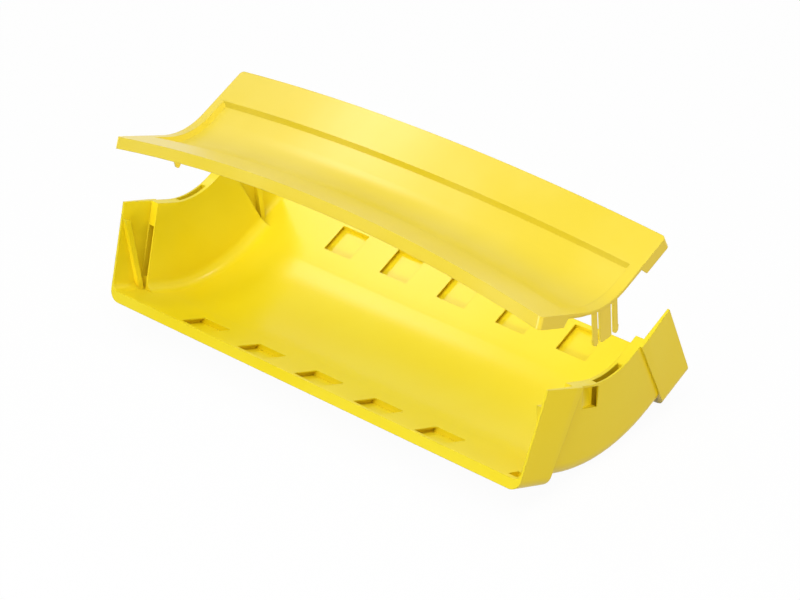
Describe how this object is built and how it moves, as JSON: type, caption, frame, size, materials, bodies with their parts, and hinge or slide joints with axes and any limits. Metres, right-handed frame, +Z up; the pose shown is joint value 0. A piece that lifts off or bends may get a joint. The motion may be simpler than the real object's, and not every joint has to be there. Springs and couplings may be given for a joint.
{
  "type": "fibre raceway elbow",
  "caption": "Wide plastic trough elbow that turns an overhead fibre cable way upward, with flared walls, coupler collars at both ends and a crowned clip-on cover.",
  "frame": {"origin": "under the middle of the bend, on the surface that the belly of the trough rests on", "axes": "+X across the trough, +Y along the cable way from the front end to the rear end, +Z up"},
  "size_m": [0.6288, 0.2764, 0.2422],
  "materials": {
    "base_plastic": "satin moulded yellow",
    "cover_plastic": "satin moulded yellow"
  },
  "bodies": {
    "base": {"raceway_base": "base_plastic"},
    "cover": {"raceway_cover": "cover_plastic"}
  },
  "joints": [
    {"name": "cover_lift", "type": "slide", "parent": "base", "child": "cover", "axis": [0, 0, 1], "range_m": [-0.08, 0.03]}
  ]
}
